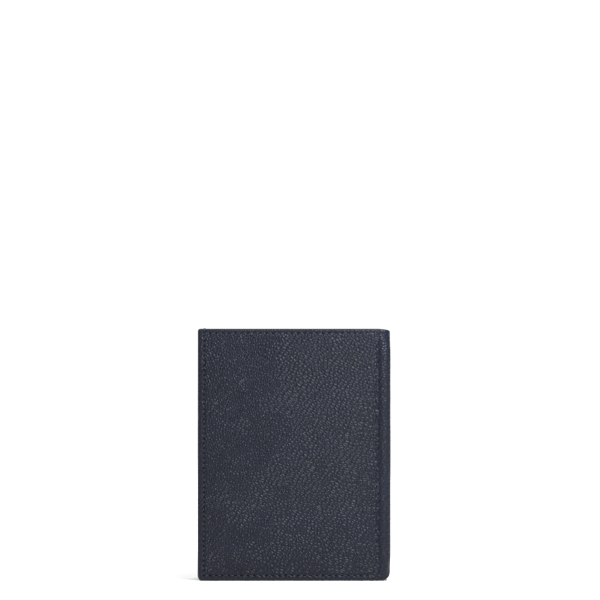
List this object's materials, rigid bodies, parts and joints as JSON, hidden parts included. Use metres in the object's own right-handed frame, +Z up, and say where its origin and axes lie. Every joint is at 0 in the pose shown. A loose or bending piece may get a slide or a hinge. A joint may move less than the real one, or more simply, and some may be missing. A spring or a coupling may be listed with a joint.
{
  "type": "bifold card holder",
  "caption": "Upright leather bifold card holder with turned, stitched edges, card pockets and a banknote slot inside each cover, and a centre leaf with a window pocket.",
  "frame": {"origin": "centre of the closed holder's footprint, on the surface it stands on", "axes": "+Z up along the covers, +X towards the spine, -Y out of the back cover's face, which is the one seen from the front view"},
  "size_m": [0.096, 0.0184, 0.1255],
  "materials": {
    "grained_leather": "navy, pebbled grain, satin",
    "smooth_leather": "navy, fine grain, matt",
    "lining": "woven textile lining, dark grey blue",
    "board": "pressed fibre board, brown",
    "thread": "waxed thread, dark navy",
    "clear_film": "clear plastic film, slightly milky"
  },
  "bodies": {
    "back_cover": {"back_leather": "grained_leather", "back_board": "board", "back_lining": "lining", "back_bill_seam": "smooth_leather", "back_inner_panel": "smooth_leather", "back_pocket_upper": "smooth_leather", "back_pocket_middle": "smooth_leather", "back_pocket_lower": "smooth_leather", "back_edge_thread": "thread", "back_inner_thread": "thread"},
    "spine": {"spine_leather": "grained_leather", "spine_stay": "board", "spine_lining": "lining", "leaf_tab": "smooth_leather"},
    "front_cover": {"front_leather": "grained_leather", "front_board": "board", "front_lining": "lining", "front_bill_seam": "smooth_leather", "front_inner_panel": "smooth_leather", "front_slip_pocket": "smooth_leather", "front_pocket_upper": "smooth_leather", "front_pocket_lower": "smooth_leather", "front_edge_thread": "thread", "front_inner_thread": "thread"},
    "leaf": {"leaf_panel": "smooth_leather", "leaf_window_hem": "smooth_leather", "leaf_window_film": "clear_film", "leaf_window_frame": "smooth_leather", "leaf_thread": "thread"}
  },
  "joints": [
    {"name": "back_fold", "type": "hinge", "parent": "back_cover", "child": "spine", "pos_m": [0.04614, -0.00736, 0.06275], "axis": [0, 0, -1], "range_deg": [0, 90]},
    {"name": "front_fold", "type": "hinge", "parent": "spine", "child": "front_cover", "pos_m": [0.04614, 0.00736, 0.06275], "axis": [0, 0, -1], "range_deg": [0, 90]},
    {"name": "leaf_fold", "type": "hinge", "parent": "spine", "child": "leaf", "pos_m": [0.04545, 0.00077, 0.06], "axis": [0, 0, -1], "range_deg": [-45, 0]}
  ],
  "couplings": [
    {"joint": "front_fold", "follows": "back_fold", "ratio": 1},
    {"joint": "leaf_fold", "follows": "back_fold", "ratio": -0.5}
  ]
}
